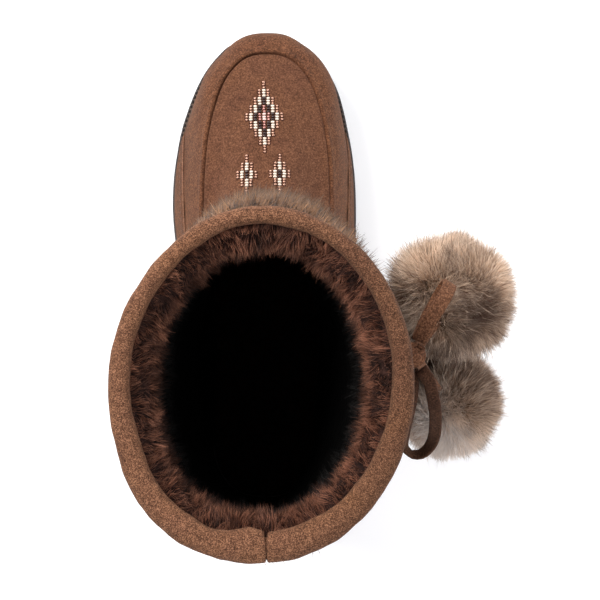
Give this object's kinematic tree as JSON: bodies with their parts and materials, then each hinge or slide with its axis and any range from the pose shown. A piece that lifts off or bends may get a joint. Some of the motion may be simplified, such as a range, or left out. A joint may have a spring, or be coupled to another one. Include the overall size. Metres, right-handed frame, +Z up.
{
  "type": "mukluk boot",
  "caption": "Suede mukluk boot for the right foot, with a beaded apron toe, a fur band, a pile lining and two fur pompoms on a bow.",
  "frame": {"origin": "on the floor under the middle of the heel, at the heel_rest mount", "axes": "+Z up, +Y towards the toe, +X towards the outer side, where the bow hangs"},
  "size_m": [0.1732, 0.2705, 0.285],
  "materials": {
    "sole_rubber": "matt moulded",
    "suede_upper": "brushed nap",
    "suede_collar": "coarse nap",
    "suede_lace": "flat cut lace",
    "pile": "dense short pile",
    "fur": "long dark-tipped fur",
    "thread": "twisted",
    "beads": "glossy seed beads"
  },
  "bodies": {
    "root": {"outsole": "sole_rubber", "insole": "pile", "upper": "suede_upper", "heel_foxing": "suede_upper", "fur_band": "fur", "collar_cuff": "suede_collar", "tie_lace": "suede_lace", "bow_knot": "suede_lace", "bow_loop_front": "suede_lace", "bow_loop_rear": "suede_lace", "pompom_cord_front": "suede_lace", "pompom_cord_rear": "suede_lace", "pompom_front": "fur", "pompom_rear": "fur"}
  },
  "joints": []
}
